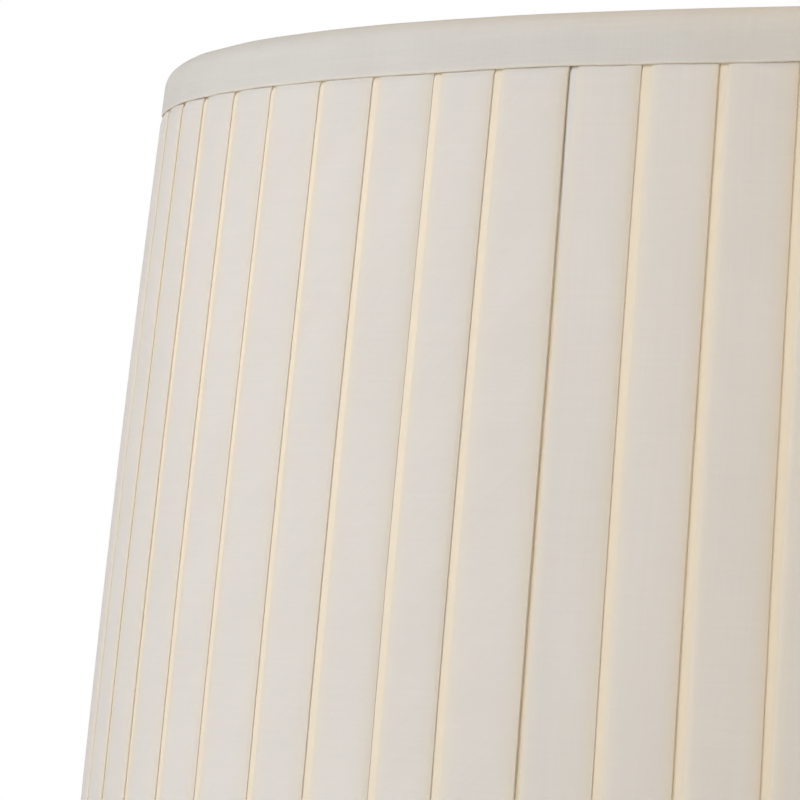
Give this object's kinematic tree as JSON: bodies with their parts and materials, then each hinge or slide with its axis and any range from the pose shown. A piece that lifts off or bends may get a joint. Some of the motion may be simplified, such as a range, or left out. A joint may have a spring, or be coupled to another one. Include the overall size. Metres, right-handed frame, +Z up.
{
  "type": "lamp shade",
  "caption": "Large slightly tapered box-pleated fabric lamp shade with rolled rims, lined on a wire frame, with a recessed spider and washer for a harp.",
  "frame": {"origin": "centre of the bottom rim, on the plane the shade stands on", "axes": "+Z up along the shade's axis, -Y towards the viewer, +X to the viewer's right"},
  "size_m": [0.4252, 0.4252, 0.305],
  "materials": {
    "pleat_cloth": "ivory plain weave, matt with a slight sheen",
    "trim_cloth": "off-white plain weave bias strip, matt",
    "lining_cloth": "smooth off-white lining cloth with a soft sheen",
    "binding_tape": "unbleached cotton tape, matt",
    "coated_wire": "off-white powder coat",
    "brass_plate": "satin brass-plated steel"
  },
  "bodies": {
    "root": {"pleated_cover": "pleat_cloth", "top_trim": "trim_cloth", "bottom_trim": "trim_cloth", "lining": "lining_cloth", "arm_collar_1": "lining_cloth", "arm_collar_2": "lining_cloth", "arm_collar_3": "lining_cloth", "top_ring_binding": "binding_tape", "bottom_ring_binding": "binding_tape", "top_ring": "coated_wire", "bottom_ring": "coated_wire", "rib_1": "coated_wire", "rib_2": "coated_wire", "rib_3": "coated_wire", "rib_4": "coated_wire", "rib_5": "coated_wire", "rib_6": "coated_wire", "spider_arm_1": "brass_plate", "spider_arm_2": "brass_plate", "spider_arm_3": "brass_plate", "spider_washer": "brass_plate"}
  },
  "joints": []
}
